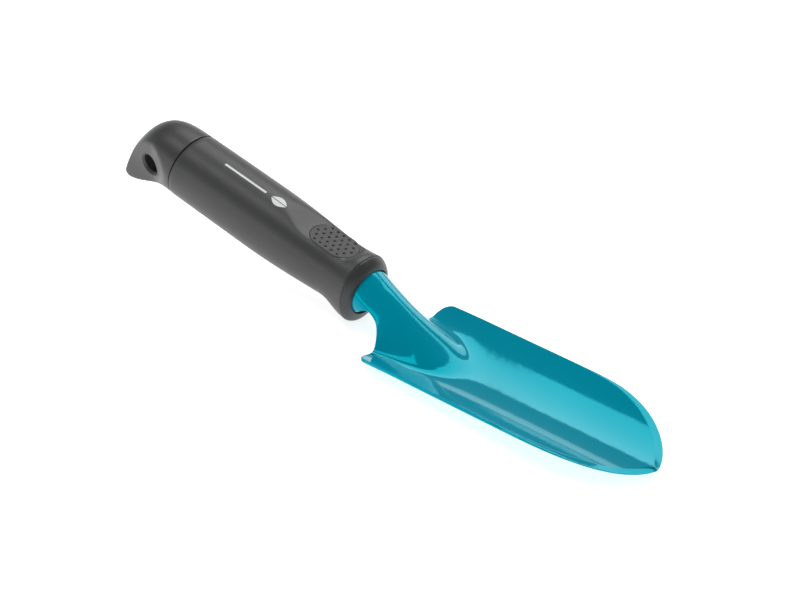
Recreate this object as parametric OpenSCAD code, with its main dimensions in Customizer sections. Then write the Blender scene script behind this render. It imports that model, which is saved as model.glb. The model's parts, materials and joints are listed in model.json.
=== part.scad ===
// Hand trowel: one pressed and rolled steel sheet (scoop, hump, neck and tang)
// pinned into a plastic handle core, with a soft grip sleeve, a dimpled thumb
// pad and a hooked end cap that holds the hang hole.
// It lies as it would on a bench: on the grip's finger stop and on the scoop.

/* [Blade] */
// Length of the scoop from its rear corners to the tip
blade_len = 138.3; // [125:0.1:145]
// Width of the scoop over its two rims
blade_w = 58.4; // [54:0.2:64]
// Height of the rims over the lowest part of the scoop
rim_h = 8.2; // [7:0.1:10]
// Part of the scoop's length that has parallel sides
straight_part = 0.577; // [0.5:0.001:0.65]
// Thickness of the steel sheet
sheet_t = 1.5; // [1.2:0.1:1.8]
// Width of the ground bevel at the tip
bevel_w = 2.9; // [1:0.1:3.2]

/* [Neck] */
// Outer radius of the rolled neck where it leaves the handle
neck_r = 11; // [10:0.1:11.2]
// Outer radius of the rolled tang inside the handle
tang_r = 9.05; // [8.8:0.05:9.2]
// Fall of the hump's ridge, millimetres down per millimetre forward
ridge_fall = 0.562; // [0.54:0.002:0.6]
// Slope of the hump's sides in degrees
hump_side = 47; // [42:1:52]

/* [Handle] */
// Tilt of the handle over the level scoop in degrees
handle_tilt = 11.3; // [8:0.1:14]
// Length of the grip sleeve from the front edge to the cap's seam
grip_len = 106; // [100:0.5:115]
// Radius of the grip in the middle of the palm
palm_r = 15.85; // [15.7:0.05:16.6]
// Radius of the grip at the cap's seam
seam_r = 15.7; // [15.5:0.05:16]
// Radius of the grip behind the thumb and finger stop
waist_r = 13.85; // [13.8:0.05:14.6]
// Depth of the finger stop under the front edge
stop_h = 3.2; // [2:0.1:3.6]
// Outer radius of the plastic core under the sleeve
core_r = 11; // [10.8:0.05:11.1]

/* [Thumb pad] */
// Height of the flat thumb rest over the handle's axis
pad_h = 12.2; // [12:0.05:12.6]
// Length of the dimpled pad
pad_len = 25; // [22:0.5:26]
// Width of the dimpled pad
pad_w = 15.6; // [14:0.2:16]
// Spacing of the dimples
dimple_pitch = 3.38; // [3.2:0.02:3.8]

/* [End cap] */
// Length of the cap behind the seam
cap_len = 36.3; // [34:0.1:38]
// Radius of the hang hole
hang_r = 4.7; // [4:0.1:5]
// Depth of the hook below the handle's axis
hook_drop = 24.2; // [22:0.1:25]

/* [Hidden] */
$fn = 64;

// Smallest gap left between parts that slide together
slip = 0.1;

// ---- shared functions ----
function clamp(x, low, high) = min(max(x, low), high);
function ease(a, b, x) = let (t = clamp((x - a) / (b - a), 0, 1)) t * t * (3 - 2 * t);
function softplus(t) = t > 30 ? t : ln(1 + exp(t));
function smooth_max(a, b, k) = (a + b + sqrt((a - b) * (a - b) + k * k)) / 2;
function smooth_min(a, b, k) = (a + b - sqrt((a - b) * (a - b) + k * k)) / 2;
function mix(a, b, t) = a + (b - a) * t;
function steps(a, b, n) = [for (i = [1:n]) mix(a, b, i / n)];

// ---- layout: scoop level, x forward from its rear corners, z = 0 near its bottom ----
tip_z = 5.67;
rim_z = tip_z + rim_h;
half_w = blade_w / 2;
straight_x = blade_len * straight_part;
face_x = -25.35;       // centre of the sleeve's front edge circle
face_z = 26.45;
axis_fall = tan(handle_tilt);
exit_s = -5;           // where the neck leaves the handle, measured back from the face
tang_end_x = -92;

// ---- blade: one curved sheet ----
// Section at x: the ridge, a round top, then a straight side at the flank angle
bend_x = -21.25;
bend_soft = 2.3;
taper = [-36, -26.5];    // the rolled sheet widens from tang to neck over this stretch
function tube_r(x) = tang_r + (neck_r - tang_r) * ease(taper[0], taper[1], x);
function axis_z(x) = face_z - (x - face_x) * axis_fall;
function ridge_z(x) = axis_z(x) + tube_r(x) / cos(handle_tilt)
    - (ridge_fall - axis_fall) * bend_soft * softplus((x - bend_x) / bend_soft)
    - 0.74 * ease(-27.7, -11, x);
function section_stretch(x) = mix(1 / cos(handle_tilt), 1.14, ease(-22, -7.4, x));
// The hump spreads towards its nose, so that its foot is a half-ellipse
function spread(x) = 1 - 0.45 * ease(-5, 23, x);
function flank(x) = mix(180, hump_side, ease(-22, -2.8, x));
function side_y(x, q) = let (r = tube_r(x), f = flank(x), a = min(q / r * 180 / PI, f))
    r * sin(a) + max(q - r * f * PI / 180, 0) * cos(f);
function side_drop(x, q) = let (r = tube_r(x), f = flank(x), w = q * spread(x), a = min(w / r * 180 / PI, f))
    r * (1 - cos(a)) + max(w - r * f * PI / 180, 0) * sin(f);
// Girth along the section that reaches half-width y on the hump
function girth(y) = y < neck_r * sin(hump_side) ? neck_r * asin(y / neck_r) * PI / 180
    : neck_r * hump_side * PI / 180 + (y - neck_r * sin(hump_side)) / cos(hump_side);
function scoop_z(x, y) = let (floor_z = tip_z + 0.61 * pow(clamp(1 - x / 74, 0, 1.5), 2), t = y / half_w)
    floor_z + (rim_z - floor_z) * t * t - 0.36 * pow(clamp(1 - x / 23, 0, 1.2), 2) * pow(t, 4);
function sheet(x, q) = let (y = side_y(x, abs(q)),
                            hump = ridge_z(x) - side_drop(x, abs(q)) * section_stretch(x),
                            w = ease(-14.8, -7.4, x))
    [x, sign(q) * y, mix(hump, smooth_max(hump, scoop_z(x, y), 2.77), w)];
function sheet_normal(x, q) = let (e = 0.05, n = cross(sheet(x + e, q) - sheet(x - e, q),
                                                       sheet(x, q + e) - sheet(x, q - e)))
    n / norm(n);

// Outline of the flat sheet as [x, girth]: tang, notch, rear corner, rim and tip
tang_q = 27.2;
notch = [-11.1, 13.65];
rear_x = -2;
rear_y = 19.4;
corner_r = 5.5;
corner_x = -1.75;
tip_steps = 22;
outline = concat(
    [for (x = concat([tang_end_x], steps(tang_end_x, taper[0], 4), steps(taper[0], -25.5, 7))) [x, tang_q]],
    [for (x = steps(-25.5, notch[0], 9)) [x, mix(tang_q, notch[1], ease(-25.5, notch[0], x))]],
    [for (a = steps(0, 90, 9)) [mix(notch[0], rear_x, sin(a)), mix(notch[1], girth(rear_y), 1 - cos(a))]],
    [for (y = steps(rear_y, half_w - corner_r, 4)) [rear_x, girth(y)]],
    [for (a = steps(0, 90, 5)) [corner_x + corner_r * (1 - cos(a)), girth(half_w - corner_r * (1 - sin(a)))]],
    [for (x = steps(corner_x + corner_r, straight_x, 11)) [x, girth(half_w)]],
    [for (a = steps(0, 90, tip_steps)) let (t = sin(a))
        [mix(straight_x, blade_len, t), a == 90 ? 0 : girth(half_w * pow(1 - pow(t, 2.67), 1 / 1.45))]]);
rows = len(outline) - 1;               // the last entry is the tip, a single point
first_notch = 21;                      // rows before this one run straight across
last_corner = first_notch + 17;
// Where row i crosses the middle line: it leads the edge round the notch
function mid_x(i) = i < first_notch ? outline[i][0]
    : i <= last_corner ? mix(notch[0], 9, (i - first_notch + 1) / (last_corner - first_notch + 1))
    : let (x = outline[i][0], x0 = outline[last_corner][0])
        x + (9 - x0) * (blade_len - x) / (blade_len - x0);
function bevel(x) = mix(0.25, bevel_w, ease(blade_len * 0.45, blade_len * 0.95, x));
function inset(i, b) = i == 0 ? outline[0] + [0, -b]
    : let (p = outline[i - 1], q = outline[min(i + 1, rows)], c = cos(hump_side),
           t = [q[0] - p[0], (q[1] - p[1]) * c], n = norm(t))
        outline[i] + b / n * [t[1], -t[0] / c];
cols = 18;                             // cells from the middle line to the edge
function across(mid, edge, j) = let (v = j / cols) [mix(mid, edge[0], v * v), edge[1] * v];
function skin(p, depth) = sheet(p[0], p[1]) - depth * sheet_normal(p[0], p[1]);
tip_land = 0.45;                       // thickness left at the ground edge
blade_top = [for (i = [0:rows - 1]) let (e = inset(i, bevel(outline[i][0])))
    [for (j = [-cols:cols]) skin(across(mid_x(i), e, j), 0)]];
blade_under = [for (i = [0:rows - 1])
    [for (j = [-cols:cols]) skin(across(mid_x(i), outline[i], j), sheet_t)]];
blade_land = [for (s = [-1, 1]) [for (i = [0:rows - 1])
    skin([outline[i][0], s * outline[i][1]], sheet_t - tip_land)]];
blade_tips = [skin([blade_len - bevel_w * 1.3, 0], 0), skin([blade_len, 0], sheet_t - tip_land),
              skin([blade_len, 0], sheet_t)];
blade_ring = 2 * cols + 1;
blade_grid = rows * blade_ring;
blade_points = concat([for (row = blade_top) each row], [for (row = blade_under) each row],
                      [for (side = blade_land) each side], blade_tips);
function top_i(i, j) = i * blade_ring + j;
function under_i(i, j) = blade_grid + i * blade_ring + j;
function land_i(side, i) = 2 * blade_grid + side * rows + i;
function tip_i(k) = 2 * blade_grid + 2 * rows + k;
function quad(a, b, c, d) = [[a, b, c], [a, c, d]];
last_j = blade_ring - 1;
blade_faces = concat(
    [for (i = [0:rows - 2], j = [0:last_j - 1])
        each quad(top_i(i, j), top_i(i, j + 1), top_i(i + 1, j + 1), top_i(i + 1, j))],
    [for (i = [0:rows - 2], j = [0:last_j - 1])
        each quad(under_i(i, j), under_i(i + 1, j), under_i(i + 1, j + 1), under_i(i, j + 1))],
    // ground or rounded edge on both sides: top outline, land, underside outline
    [for (i = [0:rows - 2]) each concat(
        quad(top_i(i, 0), top_i(i + 1, 0), land_i(0, i + 1), land_i(0, i)),
        quad(land_i(0, i), land_i(0, i + 1), under_i(i + 1, 0), under_i(i, 0)),
        quad(top_i(i, last_j), land_i(1, i), land_i(1, i + 1), top_i(i + 1, last_j)),
        quad(land_i(1, i), under_i(i, last_j), under_i(i + 1, last_j), land_i(1, i + 1)))],
    // end of the tang
    [for (j = [0:last_j - 1]) each quad(top_i(0, j), under_i(0, j), under_i(0, j + 1), top_i(0, j + 1))],
    [[top_i(0, 0), land_i(0, 0), under_i(0, 0)], [top_i(0, last_j), under_i(0, last_j), land_i(1, 0)]],
    // tip
    [for (j = [0:last_j - 1]) [top_i(rows - 1, j), top_i(rows - 1, j + 1), tip_i(0)]],
    [for (j = [0:last_j - 1]) [under_i(rows - 1, j), tip_i(2), under_i(rows - 1, j + 1)]],
    quad(top_i(rows - 1, 0), tip_i(0), tip_i(1), land_i(0, rows - 1)),
    quad(land_i(0, rows - 1), tip_i(1), tip_i(2), under_i(rows - 1, 0)),
    quad(top_i(rows - 1, last_j), land_i(1, rows - 1), tip_i(1), tip_i(0)),
    quad(land_i(1, rows - 1), under_i(rows - 1, last_j), tip_i(2), tip_i(1)));

// ---- handle: x up from the axis, y across, z back from the front edge ----
function handle_point(p) = [face_x + p[0] * sin(handle_tilt) - p[2] * cos(handle_tilt), p[1],
                            face_z + p[0] * cos(handle_tilt) + p[2] * sin(handle_tilt)];
module in_handle() {
    translate([face_x, 0, face_z]) rotate([0, handle_tilt - 90, 0]) children();
}
// A closed tube of rings, each a list of points; the ends are flat
module loft(rings) {
    n = len(rings[0]);
    m = len(rings);
    polyhedron([for (r = rings) each r], concat(
        [[for (j = [0:n - 1]) j]],
        [for (i = [0:m - 2], j = [0:n - 1]) let (k = (j + 1) % n)
            each quad(i * n + j, (i + 1) * n + j, (i + 1) * n + k, i * n + k)],
        [[for (j = [n - 1:-1:0]) (m - 1) * n + j]]));
}

// Outer surface: a barrel with a waist, a flat thumb rest on top, a finger stop below,
// and a front dome that closes in on the neck
front_s = -1.38;       // seam between the sleeve and the core's dome
dome_s = -0.4;
waist_s = 15;
barrel_s = 60;
mouth_r = neck_r + 0.3;
mouth_drop = 1;        // the mouth sits lower than the axis, as the neck bends down there
function barrel_r(s) = s < waist_s ? waist_r + 0.9 * pow(1 - s / waist_s, 2)
    : s < barrel_s ? mix(waist_r, palm_r, sin(90 * (s - waist_s) / (barrel_s - waist_s)))
    : mix(palm_r, seam_r, pow((s - barrel_s) / (grip_len - barrel_s), 2));
function stop_below(s) = stop_h * pow(1 - ease(2, 15, s), 1.5);
function rest_h(s) = pad_h + 2.4 * pow(1 - ease(1, 8, s), 1.5) + 5 * ease(28, 56, s);
function grip_r(s, a) = let (r = barrel_r(s) + stop_below(s) * pow(max(-cos(a), 0), 2))
    cos(a) > 0.5 ? smooth_min(r, rest_h(s) / cos(a), 0.5) : r;
function closing(s) = pow(1 - pow(clamp((dome_s - s) / (dome_s - exit_s), 0, 1), 1.6), 0.8);
function outer_r(s, a) = mix(mouth_r - mouth_drop * cos(a), grip_r(max(s, dome_s), a), closing(s));

// Both seams lean: the sleeve is shorter on top than below
front_lean = 0.068;
rear_lean = 0.06;
function lean(s) = front_lean * (1 - ease(front_s, 9, s)) * ease(exit_s, front_s, s)
    - rear_lean * ease(80, grip_len, s);
handle_sides = 56;
function handle_ring(s, drop) = [for (j = [0:handle_sides - 1])
    let (a = 360 * j / handle_sides, r = outer_r(s, a) - drop, h = r * cos(a))
        [h, r * sin(a), s + lean(s) * h]];

soft_edge = 0.3;       // rounding of the sleeve's and the cap's ends at the seams
sleeve_s = concat(steps(front_s + soft_edge, 2.8, 4), steps(2.8, 16, 10), steps(16, 46, 12),
                  steps(46, grip_len - soft_edge, 7));
sleeve_rings = concat([handle_ring(front_s + slip, soft_edge / 2), handle_ring(front_s + soft_edge, 0)],
                      [for (s = sleeve_s) handle_ring(s, 0)], [handle_ring(grip_len, soft_edge)]);

dome_steps = 7;
dome_rings = [for (k = [dome_steps:-1:0])
    handle_ring(mix(front_s, exit_s, sin(90 * k / dome_steps)), 0)];

// Socket for the neck and the tang: its upper wall follows the neck's bend
socket_sides = 48;
socket_s = concat([exit_s - 1], steps(exit_s - 1, 1, 6), steps(1, 13, 8), [16]);
function socket_mid(s) = s > 1 ? 0 : -mouth_drop * pow((1 - s) / (1 - exit_s), 1.5);
function socket_r(s) = slip + 0.05 + tube_r(face_x - s * cos(handle_tilt) + neck_r * sin(handle_tilt));
socket_rings = [for (s = socket_s) [for (j = [0:socket_sides - 1]) let (a = 360 * j / socket_sides)
    [socket_mid(s) + socket_r(s) * cos(a), socket_r(s) * sin(a), s]]];

// Cap: the top rolls over the rear end, and the flattened sides draw in to a hook below
cap_r = 15.6;
seam_gap = 0.6;
cap_s0 = grip_len + seam_gap;
function cap_high(t) = cap_r + 0.1 - 34.6 * pow(t, 4.08) - 3.6 * pow(max(t - 0.9, 0) / 0.1, 3);
function cap_low(t) = -cap_r - (hook_drop + 0.2 - cap_r) * ease(0.12, 1.05, t)
    + 2.6 * pow(max(t - 0.85, 0) / 0.15, 3);
hang_s = 124.3;
hang_h = -5.8;
side_w = 9;            // half-width over the flat sides at the hang hole
side_slope = [0.216, 0.06];    // the sides lean out upwards, and draw in towards the rear
function cap_side(s, h) = smooth_max(
    side_w + side_slope[0] * (h - hang_h) - side_slope[1] * (s - hang_s) + 5 * (1 - ease(grip_len, 124, s)),
    7.5, 2);
function cap_lean(s) = -rear_lean * (1 - ease(grip_len, 125, s));
function cap_point(t, a) = let (low = (1 - cos(a)) / 2,
                                s = cap_s0 + (cap_len - seam_gap) * t,
                                h = mix(cap_high(t), cap_low(t), low),
                                round_y = cap_r * sqrt(1 - pow(t / 1.025, mix(3, 7, low)))
                                    * pow(abs(sin(a)), 1 - 0.31 * low * ease(0.3, 0.8, t)),
                                flat_y = cap_side(s, h),
                                y = smooth_min(round_y, flat_y, 1.1) - smooth_min(0, flat_y, 1.1))
    [h, sign(sin(a)) * max(y, 0), s + cap_lean(s) * h];
cap_sides = 64;
cap_steps = 22;
function cap_ring(t, drop) = [for (j = [0:cap_sides - 1])
    let (p = cap_point(t, 360 * j / cap_sides), k = 1 - drop / cap_r) [p[0] * k, p[1] * k, p[2]]];
cap_rings = concat([cap_ring(0, soft_edge)],
                   [for (i = [0:cap_steps]) cap_ring(mix(soft_edge / cap_len, 1,
                                                         1 - pow(1 - i / cap_steps, 1.6)), 0)]);

// ---- rest: turned about Y until the finger stop and the scoop both touch the ground ----
support_gap = 60;      // about how far apart the two lie
function turned(p, a) = [p[0] * cos(a) - p[2] * sin(a), p[1], p[0] * sin(a) + p[2] * cos(a)];
function in_design(rings) = [for (r = rings) for (p = r) handle_point(p)];
function lowest(points, a) = min([for (p = points) turned(p, a)[2]]);
stop_points = in_design(concat(dome_rings, sleeve_rings));
function settle(a, n) = n == 0 ? a
    : settle(a + atan((lowest(stop_points, a) - lowest(blade_points, a)) / support_gap), n - 1);
rest_tilt = settle(5, 8);
rest_low = lowest(blade_points, rest_tilt);
rest_front = max([for (p = blade_points) turned(p, rest_tilt)[0]]);
rest_rear = min([for (p = in_design(cap_rings)) turned(p, rest_tilt)[0]]);
module at_rest() {
    translate([-(rest_front + rest_rear) / 2, 0, -rest_low]) rotate([0, -rest_tilt, 0]) children();
}

// ---- parts ----
pin_r = 2;
pin_s = 40;
module blade() {
    color("#0090a8") at_rest() difference() {
        polyhedron(blade_points, blade_faces);
        in_handle() translate([0, 0, pin_s]) rotate([90, 0, 0])
            cylinder(r = pin_r + slip, h = 3 * core_r, center = true);
    }
}

// Slotted spring pin through the core and the tang
module tang_pin() {
    color("silver") at_rest() in_handle() translate([0, 0, pin_s]) rotate([90, 0, 0]) difference() {
        cylinder(r = pin_r, h = 2 * core_r - 0.6, center = true);
        cylinder(r = pin_r - 0.5, h = 3 * core_r, center = true);
        translate([pin_r, 0, 0]) cube([pin_r * 2, 0.8, 3 * core_r], center = true);
    }
}

flange_r = 12.4;                       // the core is thicker behind its front dome
flange_s = [-2.6, 5.8];
spigot_r = 8.2;
spigot_len = 16;
bead_s = grip_len - 11;
module handle_core() {
    socket_end = 70;
    core_end = grip_len - 1;
    color("#2e3032") at_rest() in_handle() difference() {
        union() {
            loft(dome_rings);
            translate([0, 0, flange_s[0]]) cylinder(r = flange_r, h = flange_s[1] - flange_s[0]);
            cylinder(r = core_r, h = core_end);
        }
        loft(socket_rings);
        translate([0, 0, 15]) cylinder(r = tang_r + slip, h = socket_end - 15);
        translate([0, 0, socket_end - 1]) cylinder(r = spigot_r - 1.5, h = grip_len);
        translate([0, 0, grip_len - spigot_len - 0.5]) cylinder(r = spigot_r + slip, h = grip_len);
        translate([0, 0, bead_s]) rotate_extrude() translate([spigot_r, 0]) circle(r = 0.9);
        translate([0, 0, pin_s]) rotate([90, 0, 0]) cylinder(r = pin_r, h = 3 * core_r, center = true);
    }
}

pad_s = 18.6;
// Straight-sided part of the pad reaches this far from its middle
pad_straight = (pad_len - pad_w) / 2;
module pad_outline() {
    square([2 * pad_straight, pad_w], center = true);
    for (side = [-1, 1]) translate([side * pad_straight, 0]) circle(d = pad_w);
}
// Places a shape drawn flat on the thumb rest: x runs back along the handle
module on_rest() {
    in_handle() translate([pad_h, 0, pad_s]) rotate([0, 90, 0]) mirror([1, 0, 0]) children();
}

module grip_sleeve() {
    color("#55585a") at_rest() difference() {
        in_handle() loft(sleeve_rings);
        in_handle() translate([0, 0, -5]) cylinder(r = core_r, h = grip_len + 10);
        in_handle() translate([0, 0, -5]) cylinder(r = flange_r, h = 5 + flange_s[1]);
        on_rest() translate([0, 0, -pad_h]) linear_extrude(2 * pad_h) pad_outline();
    }
}

dimple_r = 0.65;
dimple_deep = 0.6;
function in_pad(x, y) = norm([max(abs(x) - pad_straight, 0), y]) < pad_w / 2 - 1;
module thumb_pad() {
    color("#4a4d4f") at_rest() on_rest() difference() {
        translate([0, 0, -pad_h / 2]) linear_extrude(pad_h / 2 + 0.15) pad_outline();
        translate([pad_len, 0, -pad_h]) rotate([0, -90, 0]) cylinder(r = core_r, h = 2 * pad_len);
        // alternate columns are half a pitch apart
        for (col = [-2:2], row = [-3:3])
            let (x = (row + (abs(col) % 2) / 2) * dimple_pitch, y = col * dimple_pitch * sqrt(3) / 2)
                if (in_pad(x, y))
                    translate([x, y, -dimple_deep]) cylinder(r = dimple_r, h = 2, $fn = 16);
    }
}

// Countersink on one side of the hang hole, square to the cap's flat side
module hole_rim() {
    translate([hang_h, cap_side(hang_s, hang_h) - 0.7, hang_s])
        rotate([atan(side_slope[1]), 0, atan(side_slope[0])])
            rotate([-90, 0, 0]) cylinder(r1 = hang_r - 0.4, r2 = hang_r + 2.2, h = 2.6);
}

module end_cap() {
    color("#4c4f51") at_rest() in_handle() difference() {
        union() {
            loft(cap_rings);
            translate([0, 0, grip_len - spigot_len]) cylinder(r = spigot_r, h = spigot_len + 2);
            translate([0, 0, bead_s]) rotate_extrude() translate([spigot_r - 0.1, 0]) circle(r = 0.6);
        }
        translate([hang_h, 0, hang_s]) rotate([90, 0, 0]) cylinder(r = hang_r, h = 60, center = true);
        hole_rim();
        mirror([0, 1, 0]) hole_rim();
    }
}

blade();
tang_pin();
handle_core();
grip_sleeve();
thumb_pad();
end_cap();
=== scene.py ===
"""Hand trowel: visible surfaces, materials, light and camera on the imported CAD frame.

Shapes are worked out in millimetres in the design layout, with the scoop level and x
forward from its rear corners, and then turned and moved onto the frame.
"""

import json
import math

import bmesh
import bpy
import numpy as np

from mathutils import Matrix, Vector

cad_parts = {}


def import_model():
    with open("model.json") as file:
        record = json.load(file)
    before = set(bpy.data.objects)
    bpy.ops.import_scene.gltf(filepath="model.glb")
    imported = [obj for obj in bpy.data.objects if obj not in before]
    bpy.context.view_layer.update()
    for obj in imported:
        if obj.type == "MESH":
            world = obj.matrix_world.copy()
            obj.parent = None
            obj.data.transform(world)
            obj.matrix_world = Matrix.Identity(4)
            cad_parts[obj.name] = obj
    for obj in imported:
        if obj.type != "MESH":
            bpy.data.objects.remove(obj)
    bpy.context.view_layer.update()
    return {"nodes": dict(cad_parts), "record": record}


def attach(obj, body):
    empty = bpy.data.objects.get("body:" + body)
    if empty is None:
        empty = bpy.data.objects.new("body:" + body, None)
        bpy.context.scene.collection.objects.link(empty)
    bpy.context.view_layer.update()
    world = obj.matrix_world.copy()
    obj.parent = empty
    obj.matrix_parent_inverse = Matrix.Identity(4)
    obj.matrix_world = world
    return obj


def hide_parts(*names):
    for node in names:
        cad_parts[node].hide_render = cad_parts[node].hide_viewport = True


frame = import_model()
MM = 0.001


# ---- helpers ----
def ease(a, b, x):
    t = np.clip((x - a) / (b - a), 0, 1)
    return t * t * (3 - 2 * t)


def smooth_max(a, b, k):
    return (a + b + np.sqrt((a - b) ** 2 + k * k)) / 2


def smooth_min(a, b, k):
    return (a + b - np.sqrt((a - b) ** 2 + k * k)) / 2


def mix(a, b, t):
    return a + (b - a) * t


def steps(a, b, n):
    return [mix(a, b, i / n) for i in range(1, n + 1)]


# ---- driving dimensions, as in the CAD source ----
BLADE_LEN, BLADE_W, RIM_H = 138.3, 58.4, 8.2
STRAIGHT_PART, SHEET_T, BEVEL_W = 0.577, 1.5, 2.9
NECK_R, TANG_R, RIDGE_FALL, HUMP_SIDE = 11.0, 9.05, 0.562, math.radians(47)
HANDLE_TILT, REST_TILT = math.radians(11.3), math.radians(3.2505)
GRIP_LEN, PALM_R, SEAM_R, WAIST_R = 106.0, 15.85, 15.7, 13.85
STOP_H, CORE_R, FLANGE_R, FLANGE_END = 3.2, 11.0, 12.4, 5.8
PAD_H, PAD_LEN, PAD_W, PAD_S, DIMPLE_PITCH = 12.2, 25.0, 15.6, 18.6, 3.38
CAP_LEN, CAP_R, HANG_R, HOOK_DROP = 36.3, 15.6, 4.7, 24.2
HANG_S, HANG_H, SIDE_W, SEAM_GAP = 124.3, -5.8, 9.0, 0.6

TIP_Z = 5.67
RIM_Z = TIP_Z + RIM_H
HALF_W = BLADE_W / 2
STRAIGHT_X = BLADE_LEN * STRAIGHT_PART
FACE_X, FACE_Z = -25.35, 26.45
AXIS_FALL = math.tan(HANDLE_TILT)


# ---- from the design layout to the frame ----
def turned(p):
    c, s = math.cos(REST_TILT), math.sin(REST_TILT)
    return np.stack([p[..., 0] * c - p[..., 2] * s, p[..., 1], p[..., 0] * s + p[..., 2] * c], -1)


def handle_point(h, y, s):
    """Up from the handle's axis, across, and back from its front edge."""
    h, y, s = np.broadcast_arrays(h, y, s)
    return np.stack(
        [
            FACE_X + h * math.sin(HANDLE_TILT) - s * math.cos(HANDLE_TILT),
            y,
            FACE_Z + h * math.cos(HANDLE_TILT) + s * math.sin(HANDLE_TILT),
        ],
        -1,
    )


hang_hole = next(m for m in frame["record"]["mounts"] if m["name"] == "hang_hole")
OFFSET = np.array(hang_hole["pos_m"]) - turned(handle_point(HANG_H, 0.0, HANG_S)) * MM


def to_frame(p):
    return turned(p) * MM + OFFSET


def along(v):
    """A direction of the design layout in the frame."""
    return Vector(turned(np.array(v, float)))


# ---- meshes ----
def loop_faces(rows, cols, wrap_rows=False):
    """Quads of a grid whose columns close on themselves."""
    i, j = np.meshgrid(np.arange(rows if wrap_rows else rows - 1), np.arange(cols), indexing="ij")
    i2, j2 = (i + 1) % rows, (j + 1) % cols
    return np.stack([i * cols + j, i2 * cols + j, i2 * cols + j2, i * cols + j2], -1).reshape(-1, 4)


def add_object(name, points, faces, sharp=30):
    mesh = bpy.data.meshes.new(name)
    mesh.from_pydata(points.reshape(-1, 3).tolist(), [], [list(map(int, f)) for f in faces])
    b = bmesh.new()
    b.from_mesh(mesh)
    bmesh.ops.remove_doubles(b, verts=b.verts, dist=2e-6)
    bmesh.ops.recalc_face_normals(b, faces=b.faces)
    b.to_mesh(mesh)
    b.free()
    mesh.shade_smooth()
    mesh.set_sharp_from_angle(angle=math.radians(sharp))
    piece = bpy.data.objects.new(name, mesh)
    bpy.context.scene.collection.objects.link(piece)
    return piece


def cut(piece, cutters, sharp=30):
    """Takes the cutters out of the piece and removes them."""
    for c in cutters:
        m = piece.modifiers.new("cut", "BOOLEAN")
        m.operation, m.solver, m.object = "DIFFERENCE", "EXACT", c
    bpy.context.view_layer.update()
    evaluated = piece.evaluated_get(bpy.context.evaluated_depsgraph_get())
    made = bpy.data.meshes.new_from_object(evaluated)
    piece.modifiers.clear()
    old, piece.data = piece.data, made
    bpy.data.meshes.remove(old)
    for c in cutters:
        bpy.data.objects.remove(c)
    made.shade_smooth()
    made.set_sharp_from_angle(angle=math.radians(sharp))


def slab(name, upper, lower, sharp=30):
    """Closed piece between two grids of points of the same size."""
    nx, ny = upper.shape[:2]
    i, j = np.meshgrid(np.arange(nx - 1), np.arange(ny - 1), indexing="ij")
    here, ahead = i * ny + j, (i + 1) * ny + j
    top = np.stack([here, ahead, ahead + 1, here + 1], -1).reshape(-1, 4)
    border = [k * ny for k in range(nx)] + [(nx - 1) * ny + k for k in range(1, ny)] \
        + [k * ny + ny - 1 for k in range(nx - 2, -1, -1)] + list(range(ny - 2, 0, -1))
    n = nx * ny
    walls = [[a, b, b + n, a + n] for a, b in zip(border, border[1:] + border[:1])]
    faces = top.tolist() + (top[:, ::-1] + n).tolist() + walls
    return add_object(name, to_frame(np.array([upper, lower])), faces, sharp)


def ring_of(r, h0, s, n):
    a = np.linspace(0, 2 * np.pi, n, endpoint=False)
    return np.stack([h0 + r * np.cos(a), r * np.sin(a), np.full(n, float(s))], -1)


# ---- blade: one curved sheet, x forward and q along its section ----
BEND_X, BEND_SOFT = -21.25, 2.3
TAPER = (-36.0, -26.5)
TANG_Q, TANG_END = 27.2, -92.0
NOTCH = (-11.1, 13.65)
REAR_X, REAR_Y, CORNER_R, CORNER_X = -2.0, 19.4, 5.5, -1.75
NARROW_X = -25.5                      # the sheet narrows from here to the notch
MID_FRONT = 9.0                       # middle line's x where the rear corner ends
TIP_POWER, TIP_ROUND = 2.67, 1 / 1.45
EDGE_ROUND, UNDER_LIP, TIP_LAND = 0.35, 0.25, 0.45


def tube_r(x):
    return TANG_R + (NECK_R - TANG_R) * ease(TAPER[0], TAPER[1], x)


def ridge_z(x):
    axis_z = FACE_Z - (x - FACE_X) * AXIS_FALL
    bend = BEND_SOFT * np.log1p(np.exp(np.minimum((x - BEND_X) / BEND_SOFT, 80)))
    return axis_z + tube_r(x) / math.cos(HANDLE_TILT) - (RIDGE_FALL - AXIS_FALL) * bend \
        - 0.74 * ease(-27.7, -11, x)


def spread(x):
    """The hump spreads towards its nose, so that its foot is a half-ellipse."""
    return 1 - 0.45 * ease(-5, 23, x)


def girth(y):
    flat = NECK_R * math.sin(HUMP_SIDE)
    y = np.asarray(y, float)
    return np.where(y < flat, NECK_R * np.arcsin(np.clip(y / NECK_R, -1, 1)),
                    NECK_R * HUMP_SIDE + (y - flat) / math.cos(HUMP_SIDE))


def scoop_z(x, y):
    floor_z = TIP_Z + 0.61 * np.clip(1 - x / 74, 0, 1.5) ** 2
    t = y / HALF_W
    return floor_z + (RIM_Z - floor_z) * t * t - 0.36 * np.clip(1 - x / 23, 0, 1.2) ** 2 * t ** 4


def sheet(x, q):
    r = tube_r(x)
    f = mix(math.pi, HUMP_SIDE, ease(-22, -2.8, x))
    a, past = np.minimum(abs(q) / r, f), np.maximum(abs(q) - r * f, 0)
    y = r * np.sin(a) + past * np.cos(f)
    w = abs(q) * spread(x)
    drop = r * (1 - np.cos(np.minimum(w / r, f))) + np.maximum(w - r * f, 0) * np.sin(f)
    hump = ridge_z(x) - drop * mix(1 / math.cos(HANDLE_TILT), 1.14, ease(-22, -7.4, x))
    z = mix(hump, smooth_max(hump, scoop_z(x, y), 2.77), ease(-14.8, -7.4, x))
    return np.stack(np.broadcast_arrays(x, np.sign(q) * y, z), -1)


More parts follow.
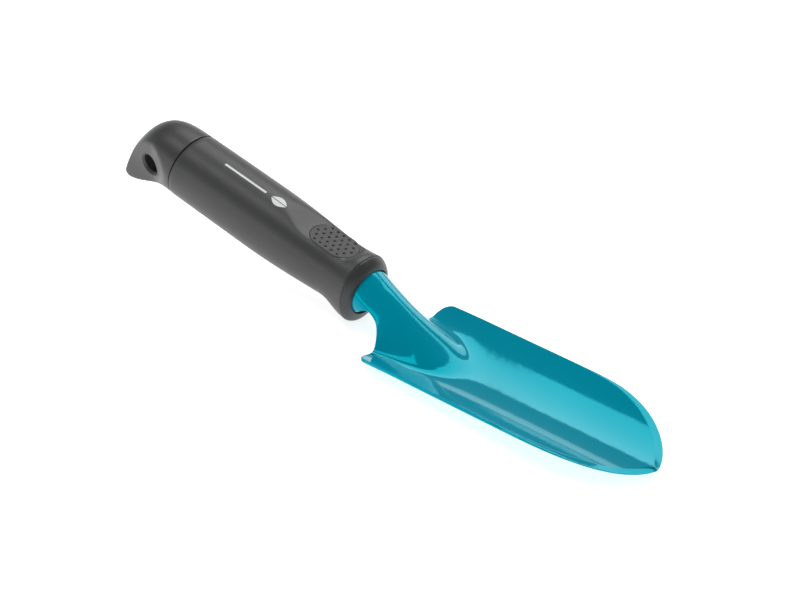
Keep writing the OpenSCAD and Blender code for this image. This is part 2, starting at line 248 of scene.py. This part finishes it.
def skin(p, depth):
    e, x, q = 0.05, p[..., 0], p[..., 1]
    n = np.cross(sheet(x + e, q) - sheet(x - e, q), sheet(x, q + e) - sheet(x, q - e))
    return sheet(x, q) - np.expand_dims(np.broadcast_to(depth, x.shape), -1) \
        * n / np.linalg.norm(n, axis=-1, keepdims=True)


def blade_outline(fine):
    """Edge of the flat sheet: tang, notch, rear corner, rim and tip."""
    tang_x = [TANG_END] + steps(TANG_END, TAPER[0], 6) + steps(TAPER[0], NARROW_X, 7 * fine)
    o = [(x, TANG_Q) for x in tang_x]
    o += [(x, mix(TANG_Q, NOTCH[1], ease(NARROW_X, NOTCH[0], x)))
          for x in steps(NARROW_X, NOTCH[0], 9 * fine)]
    straight_rows = len(o)
    o += [(mix(NOTCH[0], REAR_X, math.sin(a)), mix(NOTCH[1], girth(REAR_Y), 1 - math.cos(a)))
          for a in steps(0, math.pi / 2, 9 * fine)]
    o += [(REAR_X, girth(y)) for y in steps(REAR_Y, HALF_W - CORNER_R, 4 * fine)]
    o += [(CORNER_X + CORNER_R * (1 - math.cos(a)), girth(HALF_W - CORNER_R * (1 - math.sin(a))))
          for a in steps(0, math.pi / 2, 5 * fine)]
    corner_end = len(o) - 1
    o += [(x, girth(HALF_W)) for x in steps(CORNER_X + CORNER_R, STRAIGHT_X, 11 * fine)]
    for a in steps(0, math.pi / 2, 22 * fine):
        t = min(math.sin(a), 1)
        y = HALF_W * max(1 - t ** TIP_POWER, 0) ** TIP_ROUND
        o.append((mix(STRAIGHT_X, BLADE_LEN, t), girth(y)))
    return np.array(o, float), straight_rows, corner_end


def make_blade():
    fine, half_cols, edge_steps = 4, 30, 5
    o, first, corner = blade_outline(fine)
    rows = len(o)
    mid = o[:, 0].copy()
    mid[first:corner + 1] = NOTCH[0] + (MID_FRONT - NOTCH[0]) * np.arange(1, corner - first + 2) \
        / (corner - first + 1)
    ahead = np.arange(corner + 1, rows)
    mid[ahead] = o[ahead, 0] + (MID_FRONT - o[corner, 0]) * (BLADE_LEN - o[ahead, 0]) \
        / (BLADE_LEN - o[corner, 0])
    # direction from the edge into the sheet
    before, after = np.roll(o, 1, 0), np.roll(o, -1, 0)
    before[0], after[-1] = o[0], o[-1]
    c = math.cos(HUMP_SIDE)
    t = (after - before) * [1, c]
    t[-1] = [0, -1]
    inward = np.stack([t[:, 1], -t[:, 0] / c], -1) / np.linalg.norm(t, axis=1, keepdims=True)
    ground = ease(BLADE_LEN * 0.5, BLADE_LEN * 0.96, o[:, 0])
    width = mix(EDGE_ROUND, BEVEL_W, ground)

    def edge_ring(k):
        u = k / edge_steps * math.pi / 2
        straight, round_in, round_dep = k / edge_steps, 1 - math.sin(u), 1 - math.cos(u)
        ins = width * mix(round_in, 1 - straight, ground)
        depth = mix(EDGE_ROUND * round_dep, (SHEET_T - TIP_LAND) * straight, ground)
        return o + ins[:, None] * inward, depth

    def across(edge, v):
        x = mid[:, None] * (1 - v * v) + edge[:, 0:1] * v * v
        return np.stack([x, edge[:, 1:2] * v], -1)

    v = np.linspace(-1, 1, 2 * half_cols + 1)
    v = np.sign(v) * abs(v) ** 0.9
    top = skin(across(edge_ring(0)[0], v), 0.0)
    under_edge = o + UNDER_LIP * inward
    under = skin(across(under_edge, v), SHEET_T)[:, ::-1]
    sides = {}
    for side in (1, -1):
        rings = [edge_ring(k) for k in range(1, edge_steps + 1)]
        rings.append((o, np.full(rows, SHEET_T - UNDER_LIP)))
        sides[side] = np.stack([skin(p * [1, side], d) for p, d in rings], 1)
    section = np.concatenate([top, sides[1], under, sides[-1][:, ::-1]], 1)
    cols = section.shape[1]
    faces = loop_faces(rows, cols).tolist()
    n_top, n_side = len(v), edge_steps + 1
    for j in range(n_top - 1):
        k = n_top + n_side + n_top - 1 - j
        faces.append([j, j + 1, k - 1, k])
    faces.append([n_top - 1] + list(range(n_top, n_top + n_side + 1)))
    faces.append([0, n_top + n_side + n_top - 1] + list(range(n_top + n_side + n_top, cols)))
    return add_object("blade_sheet", to_frame(section), faces, sharp=18)


# ---- handle: radial sections round its axis ----
FRONT_S, DOME_S, EXIT_S = -1.38, -0.4, -5.0
WAIST_S, BARREL_S = 15.0, 60.0
MOUTH_R, MOUTH_DROP = NECK_R + 0.3, 1.0
FRONT_LEAN, REAR_LEAN = 0.068, 0.06
SLIP, SOFT_EDGE = 0.1, 0.3
TANG_BORE_END, SOCKET_S = 70, 90
SOCKET_R, SOCKET_MOUTH_R = 8.3, 9.3
ROUND = 128


def grip_r(s, a):
    c = np.cos(a)
    waist = WAIST_R + 0.9 * (1 - s / WAIST_S) ** 2
    swell = np.clip((s - WAIST_S) / (BARREL_S - WAIST_S), 0, 1)
    belly = mix(WAIST_R, PALM_R, np.sin(np.pi / 2 * swell))
    rear = mix(PALM_R, SEAM_R, ((s - BARREL_S) / (GRIP_LEN - BARREL_S)) ** 2)
    barrel = np.where(s < WAIST_S, waist, np.where(s < BARREL_S, belly, rear))
    r = barrel + STOP_H * (1 - ease(2, 15, s)) ** 1.5 * np.maximum(-c, 0) ** 2
    rest = PAD_H + 2.4 * (1 - ease(1, 8, s)) ** 1.5 + 5 * ease(28, 56, s)
    return np.where(c > 0.5, smooth_min(r, rest / np.maximum(c, 0.5), 0.5), r)


def outer_r(s, a):
    u = np.clip((DOME_S - s) / (DOME_S - EXIT_S), 0, 1)
    mouth = MOUTH_R - MOUTH_DROP * np.cos(a)
    return mix(mouth, grip_r(np.maximum(s, DOME_S), a), (1 - u ** 1.6) ** 0.8)


def lean(s):
    front = FRONT_LEAN * (1 - ease(FRONT_S, 9, s)) * ease(EXIT_S, FRONT_S, s)
    return front - REAR_LEAN * ease(80, GRIP_LEN, s)


def handle_ring(s, drop=0.0, n=ROUND):
    a = np.linspace(0, 2 * np.pi, n, endpoint=False)
    r = outer_r(np.full(n, float(s)), a) - drop
    h = r * np.cos(a)
    return np.stack([h, r * np.sin(a), s + lean(s) * h], -1)


def bore_ring(r, s, n=ROUND):
    """Circle whose plane leans with the surface at s."""
    a = np.linspace(0, 2 * np.pi, n, endpoint=False)
    return np.stack([r * np.cos(a), r * np.sin(a), s + lean(s) * r * np.cos(a)], -1)


def closed_handle_piece(name, rings, sharp=30):
    p = np.array(rings)
    return add_object(name, to_frame(handle_point(p[..., 0], p[..., 1], p[..., 2])),
                      loop_faces(len(rings), p.shape[1], wrap_rows=True), sharp)


def pad_prism(grow, low, high):
    """Stadium-shaped block standing on the thumb rest."""
    half, r, n = (PAD_LEN - PAD_W) / 2, PAD_W / 2 + grow, 24
    ends = [(side, side * math.pi / 2 + t - math.pi / 2)
            for side in (1, -1) for t in np.linspace(0, math.pi, n)]
    xy = np.array([(side * half + r * math.sin(a), r * math.cos(a)) for side, a in ends])
    layers = [handle_point(np.full(len(xy), h), xy[:, 1], PAD_S + xy[:, 0]) for h in (low, high)]
    k = len(xy)
    faces = loop_faces(2, k).tolist() + [list(range(k)), list(range(2 * k - 1, k - 1, -1))]
    return add_object("pad_cutter", to_frame(np.array(layers)), faces)


def make_sleeve():
    body = (steps(FRONT_S + SOFT_EDGE, 2.8, 10) + steps(2.8, 16, 24) + steps(16, 56, 36)
            + steps(56, GRIP_LEN - SOFT_EDGE, 24))
    front = [handle_ring(FRONT_S + SLIP, 0.2), handle_ring(FRONT_S + SLIP + 0.06, 0.07),
             handle_ring(FRONT_S + SOFT_EDGE)]
    rear = [handle_ring(GRIP_LEN - 0.09, 0.09), handle_ring(GRIP_LEN, SOFT_EDGE)]
    bore = [bore_ring(CORE_R, GRIP_LEN), ring_of(CORE_R, 0, FLANGE_END, ROUND),
            ring_of(FLANGE_R, 0, FLANGE_END, ROUND), bore_ring(FLANGE_R, FRONT_S + SLIP)]
    sleeve = closed_handle_piece("grip_skin", front + [handle_ring(s) for s in body] + rear + bore)
    cut(sleeve, [pad_prism(0.08, PAD_H - 1.0, PAD_H + 6)])
    return sleeve


def socket_ring(s):
    mid = 0 if s > 1 else -MOUTH_DROP * ((1 - s) / (1 - EXIT_S)) ** 1.5
    r = SLIP + 0.05 + tube_r(FACE_X - s * math.cos(HANDLE_TILT) + NECK_R * math.sin(HANDLE_TILT))
    return ring_of(float(r), mid, s, ROUND)


def make_core():
    dome = [handle_ring(mix(FRONT_S, EXIT_S, math.sin(u))) for u in np.linspace(0, math.pi / 2, 20)]
    rings = [ring_of(SOCKET_MOUTH_R, 0, GRIP_LEN - 1, ROUND),
             ring_of(CORE_R, 0, GRIP_LEN - 1, ROUND),
             ring_of(CORE_R, 0, FLANGE_END, ROUND), ring_of(FLANGE_R, 0, FLANGE_END, ROUND),
             bore_ring(FLANGE_R, FRONT_S), handle_ring(FRONT_S, 0.12)] + dome[1:]
    rings += [socket_ring(s) for s in [EXIT_S] + steps(EXIT_S, 1, 6) + steps(1, 13, 8) + [16]]
    rings += [ring_of(TANG_R + SLIP, 0, TANG_BORE_END, ROUND),
              ring_of(SOCKET_R, 0, SOCKET_S, ROUND)]
    return closed_handle_piece("core_front", rings)


# ---- thumb pad: a flat inlay with small dents ----
def make_pad():
    nx, ny, thick, edge_r, dent_deep = 168, 104, 1.0, 0.3, 0.55
    half, radius = (PAD_LEN - PAD_W) / 2, PAD_W / 2
    across = np.sin(np.linspace(-1, 1, ny) * math.pi / 2)
    u, v = np.meshgrid(np.linspace(-1, 1, nx), across, indexing="ij")
    y = v * radius
    x = u * (half + np.sqrt(np.maximum(radius ** 2 - y ** 2, 0)))
    inside = radius - np.hypot(np.maximum(abs(x) - half, 0), y)
    rim = np.clip(1 - inside / edge_r, 0, 1)
    top = PAD_H + 0.12 - 0.35 * (1 - np.sqrt(1 - rim ** 2))
    for col in range(-2, 3):
        for row in range(-3, 4):
            cx = (row + abs(col) % 2 / 2) * DIMPLE_PITCH
            cy = col * DIMPLE_PITCH * math.sqrt(3) / 2
            if math.hypot(max(abs(cx) - half, 0), cy) < radius - 1:
                d = np.hypot(x - cx, y - cy)
                top -= dent_deep * (1 - ease(0.25, 0.72, d))
    upper = handle_point(top, y, PAD_S + x)
    lower = handle_point(PAD_H - thick, y, PAD_S + x)
    return slab("pad_inlay", upper, lower, sharp=40)


# ---- cap ----
CAP_S0 = GRIP_LEN + SEAM_GAP
SIDE_UP, SIDE_BACK = 0.216, 0.06      # the flat sides lean out upwards and draw in rearwards
FLARE, FLARE_OUT, FLARE_IN = 2.6, 2.0, -0.8      # the hang hole's ends


def cap_side(s, h):
    plane = SIDE_W + SIDE_UP * (h - HANG_H) - SIDE_BACK * (s - HANG_S)
    return smooth_max(plane + 5 * (1 - ease(GRIP_LEN, 124, s)), 7.5, 2)


def cap_ring(t, drop=0.0, n=160):
    a = np.linspace(0, 2 * np.pi, n, endpoint=False)
    low = (1 - np.cos(a)) / 2
    high = CAP_R + 0.1 - 34.6 * t ** 4.08 - 3.6 * (max(t - 0.9, 0) / 0.1) ** 3
    deep = -CAP_R - (HOOK_DROP + 0.2 - CAP_R) * ease(0.12, 1.05, t) \
        + 2.6 * (max(t - 0.85, 0) / 0.15) ** 3
    s, h = CAP_S0 + (CAP_LEN - SEAM_GAP) * t, mix(high, deep, low)
    round_y = CAP_R * np.sqrt(1 - (t / 1.025) ** mix(3, 7, low)) \
        * abs(np.sin(a)) ** (1 - 0.31 * low * ease(0.3, 0.8, t))
    flat_y = cap_side(s, h)
    y = smooth_min(round_y, flat_y, 1.1) - smooth_min(0, flat_y, 1.1)
    k = 1 - drop / CAP_R
    leaning = -REAR_LEAN * (1 - ease(GRIP_LEN, 125, s))
    return np.stack([h * k, np.sign(np.sin(a)) * np.maximum(y, 0) * k, s + leaning * h], -1)


def hole_cutter(n=72):
    """Bore through the cap whose ends flare, square to the slanting sides."""
    a = np.linspace(0, 2 * np.pi, n, endpoint=False)
    side = float(cap_side(HANG_S, HANG_H)) - 0.1
    rings = []
    for out, r in ((-1, HANG_R + FLARE), (-1, HANG_R), (1, HANG_R), (1, HANG_R + FLARE)):
        h, s = r * np.cos(a), r * np.sin(a)
        y = out * (side + (FLARE_OUT if r > HANG_R else FLARE_IN) + SIDE_UP * h - SIDE_BACK * s)
        rings.append(np.stack([HANG_H + h, y, HANG_S + s], -1))
    p = np.array(rings)
    faces = loop_faces(4, n).tolist() + [list(range(n)), list(range(4 * n - 1, 3 * n - 1, -1))]
    return add_object("hole_cutter", to_frame(handle_point(p[..., 0], p[..., 1], p[..., 2])), faces)


def make_cap():
    t = 1 - (1 - np.linspace(0, 1, 84)) ** 1.6
    seam = [cap_ring(0.0, SOFT_EDGE), cap_ring(0.002, 0.09)]
    p = np.array(seam + [cap_ring(mix(0.008, 1, k)) for k in t])
    rows, n = p.shape[:2]
    last = (rows - 1) * n
    faces = loop_faces(rows, n).tolist() + [list(range(n)), list(range(last + n - 1, last - 1, -1))]
    points = to_frame(handle_point(p[..., 0], p[..., 1], p[..., 2]))
    cap = add_object("cap_shell", points, faces, sharp=35)
    cut(cap, [hole_cutter()], sharp=28)
    return cap


# ---- printed mark: a plain leaf and a bar, laid on the sleeve ----
MARK_S, MARK_TURN, INK = 50.6, math.radians(-11), 0.03


def on_sleeve(x, y, lift=INK):
    """x back along the handle and y across, from the mark's middle, both in millimetres."""
    s = MARK_S + x
    a = MARK_TURN + y / PALM_R
    r = outer_r(s, a) + lift
    h = r * np.cos(a)
    return handle_point(h, r * np.sin(a), s + lean(s) * h)


def strip_on_sleeve(name, x, low, high, across=7):
    """Thin print between two edges y = low(x) and y = high(x)."""
    w = np.linspace(0, 1, across)
    xs = np.broadcast_to(x[:, None], (len(x), across))
    y = mix(low[:, None], high[:, None], w)
    return slab(name, on_sleeve(xs, y), on_sleeve(xs, y, -INK))


def make_mark():
    half_len, half_wide, half_vein, half_bar = 4.6, 2.6, 0.22, 0.55
    x = np.linspace(-half_len, half_len, 40)
    body = half_wide * np.cos(x / half_len * math.pi / 2) ** 0.8
    vein = half_vein * np.ones_like(x)
    parts = [strip_on_sleeve("mark_leaf_near", x, -body, -np.minimum(vein, body)),
             strip_on_sleeve("mark_leaf_far", x, np.minimum(vein, body), body)]
    bar = np.linspace(8, 34, 60)
    edge = half_bar * np.ones_like(bar)
    parts.append(strip_on_sleeve("mark_bar", bar, -edge, edge))
    return parts


# ---- materials ----
def new_material(name):
    m = bpy.data.materials.new(name)
    m.use_nodes = True
    nodes, links = m.node_tree.nodes, m.node_tree.links
    place = nodes.new("ShaderNodeTexCoord").outputs["Object"]
    return m, nodes, links, nodes["Principled BSDF"], place


def noise(nodes, links, place, scale, detail=3.0, rough=0.55):
    n = nodes.new("ShaderNodeTexNoise")
    n.inputs["Scale"].default_value = scale
    n.inputs["Detail"].default_value = detail
    n.inputs["Roughness"].default_value = rough
    links.new(place, n.inputs["Vector"])
    return n.outputs["Fac"]


def ramp(nodes, links, value, stops):
    """Colour between two stops of (position, colour)."""
    r = nodes.new("ShaderNodeValToRGB")
    for element, (position, colour) in zip(r.color_ramp.elements, stops):
        element.position, element.color = position, (*colour, 1)
    links.new(value, r.inputs["Fac"])
    return r.outputs["Color"]


def scaled(nodes, links, value, low, high):
    m = nodes.new("ShaderNodeMapRange")
    m.inputs["To Min"].default_value, m.inputs["To Max"].default_value = low, high
    links.new(value, m.inputs["Value"])
    return m.outputs["Result"]


def bump(nodes, links, shader, layers):
    """Layers of (height, strength, distance in metres), one on the other."""
    last = None
    for height, strength, distance in layers:
        b = nodes.new("ShaderNodeBump")
        b.inputs["Strength"].default_value = strength
        b.inputs["Distance"].default_value = distance
        links.new(height, b.inputs["Height"])
        if last is not None:
            links.new(last, b.inputs["Normal"])
        last = b.outputs["Normal"]
    links.new(last, shader.inputs["Normal"])


def coated_steel():
    m, nodes, links, shader, place = new_material("teal_powder_coat")
    broad = noise(nodes, links, place, 35, 2)
    links.new(ramp(nodes, links, broad, [(0.3, (0.0, 0.288, 0.408)), (0.7, (0.0, 0.302, 0.428))]),
              shader.inputs["Base Color"])
    links.new(scaled(nodes, links, noise(nodes, links, place, 900, 2), 0.06, 0.10),
              shader.inputs["Roughness"])
    shader.inputs["Specular IOR Level"].default_value = 0.5
    shader.inputs["Specular Tint"].default_value = (0.0, 1.0, 0.9, 1)
    shader.inputs["Metallic"].default_value = 0.1
    bump(nodes, links, shader, [
        (noise(nodes, links, place, 260, 2), 0.2, 0.0001),
        (noise(nodes, links, place, 1400, 2), 0.05, 0.00004),
    ])
    return m


def moulded(name, dark, light, rough, grain):
    """Satin plastic or rubber with a fine spark-eroded grain."""
    m, nodes, links, shader, place = new_material(name)
    cloud = noise(nodes, links, place, 60, 4)
    links.new(ramp(nodes, links, cloud, [(0.25, dark), (0.75, light)]), shader.inputs["Base Color"])
    fine = noise(nodes, links, place, 2600, 3, 0.7)
    links.new(scaled(nodes, links, fine, rough - 0.06, rough + 0.06), shader.inputs["Roughness"])
    shader.inputs["Specular IOR Level"].default_value = 0.5
    bump(nodes, links, shader, [
        (fine, grain, 0.00006),
        (noise(nodes, links, place, 140, 2), 0.06, 0.0002),
    ])
    return m


def ink():
    m, nodes, links, shader, place = new_material("mark_ink")
    worn = noise(nodes, links, place, 1500, 3)
    links.new(ramp(nodes, links, worn, [(0.2, (0.66, 0.67, 0.67)), (0.8, (0.80, 0.81, 0.81))]),
              shader.inputs["Base Color"])
    links.new(scaled(nodes, links, worn, 0.4, 0.55), shader.inputs["Roughness"])
    return m


def steel():
    m, nodes, links, shader, place = new_material("pin_steel")
    grain = noise(nodes, links, place, 1800, 3)
    links.new(ramp(nodes, links, grain, [(0.2, (0.50, 0.50, 0.52)), (0.8, (0.62, 0.62, 0.64))]),
              shader.inputs["Base Color"])
    shader.inputs["Metallic"].default_value = 1.0
    links.new(scaled(nodes, links, grain, 0.25, 0.4), shader.inputs["Roughness"])
    return m


def dress(piece, material, replaces=()):
    piece.data.materials.clear()
    piece.data.materials.append(material)
    if replaces:
        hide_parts(*replaces)
    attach(piece, "root")


grip_rubber = moulded("grip_rubber", (0.032, 0.0325, 0.033), (0.038, 0.0385, 0.039), 0.40, 0.4)
dress(make_blade(), coated_steel(), ["blade"])
dress(make_sleeve(), grip_rubber, ["grip_sleeve"])
dress(make_core(),
      moulded("core_plastic", (0.026, 0.0265, 0.027), (0.031, 0.0315, 0.032), 0.38, 0.3),
      ["handle_core"])
dress(make_pad(), moulded("pad_rubber", (0.034, 0.0345, 0.035), (0.040, 0.0405, 0.041), 0.5, 0.5),
      ["thumb_pad"])
dress(make_cap(), moulded("cap_plastic", (0.032, 0.0325, 0.033), (0.038, 0.0385, 0.039), 0.38, 0.3),
      ["end_cap"])
mark_ink = ink()
for part in make_mark():
    dress(part, mark_ink)
pin = frame["nodes"]["tang_pin"]
pin.data.materials.clear()
pin.data.materials.append(steel())

# ---- floor, light and camera ----
BAND_LIGHT, ROOM_LIGHT = 1.5, 0.3
FLOOR_GLOW, FAR_GLOW = 0.75, 0.25     # painted light: the floor glows though it is no lamp, strongly near the trowel and faintly far off
GLOW_NEAR, GLOW_FAR = 0.45, 1.6       # between these distances, in metres, it fades
GLOW_CENTRE = (0, -0.15, 0)           # from this point in front of the trowel


def floor():
    size = 6.0
    mesh = bpy.data.meshes.new("floor")
    corners = [(-size, -size, 0), (size, -size, 0), (size, size, 0), (-size, size, 0)]
    mesh.from_pydata(corners, [], [(0, 1, 2, 3)])
    plane = bpy.data.objects.new("floor", mesh)
    bpy.context.scene.collection.objects.link(plane)
    m, nodes, links, shader, place = new_material("floor_paper")
    cloud = noise(nodes, links, place, 3, 2)
    tone = ramp(nodes, links, cloud, [(0.3, (0.88,) * 3), (0.7, (0.91,) * 3)])
    links.new(tone, shader.inputs["Base Color"])
    shader.inputs["Roughness"].default_value = 0.9
    shader.inputs["Specular IOR Level"].default_value = 0.1
    # painted light: the floor emits its own glow, brightest round the trowel, which washes out the
    # trowel's shadow and lights it from below
    shader.inputs["Emission Color"].default_value = (1, 1, 1, 1)
    reach = nodes.new("ShaderNodeVectorMath")
    reach.operation = "DISTANCE"
    reach.inputs[1].default_value = GLOW_CENTRE
    links.new(place, reach.inputs[0])
    fade = nodes.new("ShaderNodeMapRange")
    fade.interpolation_type = "SMOOTHSTEP"
    for socket, value in (("From Min", GLOW_NEAR), ("From Max", GLOW_FAR),
                          ("To Min", FLOOR_GLOW), ("To Max", FAR_GLOW)):
        fade.inputs[socket].default_value = value
    links.new(reach.outputs["Value"], fade.inputs["Value"])
    links.new(fade.outputs["Result"], shader.inputs["Emission Strength"])
    mesh.materials.append(m)


def softbox(name, centre, target, up, width, height, radiance):
    """Area light at centre (design layout, metres), facing target, its height along up."""
    light = bpy.data.lights.new(name, "AREA")
    light.shape, light.size, light.size_y = "RECTANGLE", width, height
    light.energy = radiance * math.pi * width * height
    lamp = bpy.data.objects.new(name, light)
    bpy.context.scene.collection.objects.link(lamp)
    lamp.location = along(centre)
    back = (lamp.location - along(target)).normalized()
    side = along(up).cross(back).normalized()
    lamp.rotation_mode = "QUATERNION"
    lamp.rotation_quaternion = Matrix([side, back.cross(side), back]).transposed().to_quaternion()
    lamp.visible_camera = False


def camera():
    azimuth, elevation = math.radians(42.09), math.radians(32.19)
    distance, target = 1162.25, np.array([0.0, 0.0, 15.0])
    aim_right, aim_up = -0.001724, 0.010167
    level = math.cos(elevation)
    back = np.array([math.sin(azimuth) * level, -math.cos(azimuth) * level, math.sin(elevation)])
    right = np.array([math.cos(azimuth), math.sin(azimuth), 0.0])
    up = np.cross(back, right)
    data = bpy.data.cameras.new("camera")
    data.lens, data.sensor_width = 120.56, 36.0
    data.clip_start, data.clip_end = 0.05, 50
    cam = bpy.data.objects.new("camera", data)
    bpy.context.scene.collection.objects.link(cam)
    cam.location = to_frame(target + distance * back)
    z = along(back - aim_right * right - aim_up * up).normalized()
    x = along(up).cross(z).normalized()
    cam.rotation_mode = "QUATERNION"
    cam.rotation_quaternion = Matrix([x, z.cross(x), z]).transposed().to_quaternion()
    bpy.context.scene.camera = cam


def world():
    """A dim room with one bright band a little above the horizon."""
    w = bpy.data.worlds.new("studio")
    w.use_nodes = True
    nodes, links = w.node_tree.nodes, w.node_tree.links
    split = nodes.new("ShaderNodeSeparateXYZ")
    links.new(nodes.new("ShaderNodeTexCoord").outputs["Generated"], split.inputs[0])
    band = nodes.new("ShaderNodeValToRGB")
    stops = ((0.09, ROOM_LIGHT), (0.11, BAND_LIGHT), (0.215, BAND_LIGHT), (0.25, ROOM_LIGHT))
    for at, _ in stops[1:3]:
        band.color_ramp.elements.new(at)
    for stop, (at, level) in zip(band.color_ramp.elements, stops):
        stop.position, stop.color = at, (level, level, level, 1)
    links.new(split.outputs["Z"], band.inputs["Fac"])
    background = nodes["Background"]
    links.new(band.outputs["Color"], background.inputs["Color"])
    bpy.context.scene.world = w


floor()
world()
camera()
bpy.context.scene.view_settings.view_transform = "Standard"
key = np.array([0.0, math.cos(math.radians(58.75)), math.sin(math.radians(58.75))])
softbox("key_box", key + [-0.21, 0, 0], (-0.21, 0, 0), (0, -key[2], key[1]), 0.72, 0.66, 3.5)
softbox("top_box", (-0.33, -0.26, 0.93), (-0.1, 0, 0), (0, 1, 0), 0.6, 0.32, 3.0)
softbox("side_box", (-0.55, -1.17, 0.32), (-0.1, 0, 0), (0, 0, 1), 0.9, 0.42, 1.2)
softbox("far_box", (-0.12, 1.29, 0.53), (0, 0, 0), (0, 0, 1), 0.46, 0.46, 2.4)
